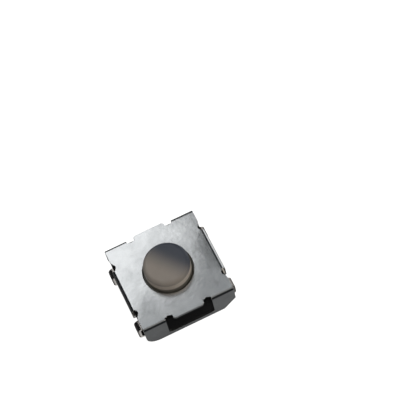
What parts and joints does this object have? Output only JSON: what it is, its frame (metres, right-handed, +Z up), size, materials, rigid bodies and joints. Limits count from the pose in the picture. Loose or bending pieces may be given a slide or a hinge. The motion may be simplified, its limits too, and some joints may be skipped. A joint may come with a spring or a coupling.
{
  "type": "tactile push button switch",
  "caption": "Surface-mount momentary push switch: a round plunger stands through a folded metal cover over a moulded base, and J-shaped terminals solder to a board.",
  "frame": {"origin": "middle of the switch on the board plane, at the bottom of its box", "axes": "+Z up along the button, +X towards one pair of terminals, -Y towards one skirt"},
  "size_m": [0.0066, 0.0062, 0.0035],
  "materials": {
    "base_plastic": "glossy moulded black, duller in the underside",
    "cover_steel": "satin, faintly cloudy",
    "button_plastic": "smooth semi-gloss warm grey",
    "dome_steel": "bright rolled spring steel",
    "lead_plating": "silver plating, slightly dulled"
  },
  "bodies": {
    "housing": {"base": "base_plastic", "cover": "cover_steel", "lead_frame_outer": "lead_plating", "lead_frame_centre": "lead_plating", "snap_dome": "dome_steel"},
    "plunger": {"button": "button_plastic"}
  },
  "joints": [
    {"name": "button_press", "type": "slide", "parent": "housing", "child": "plunger", "axis": [0, 0, -1], "range_m": [0, 0.00025], "stiffness_N_per_m": 40, "deforming": ["snap_dome"]}
  ]
}
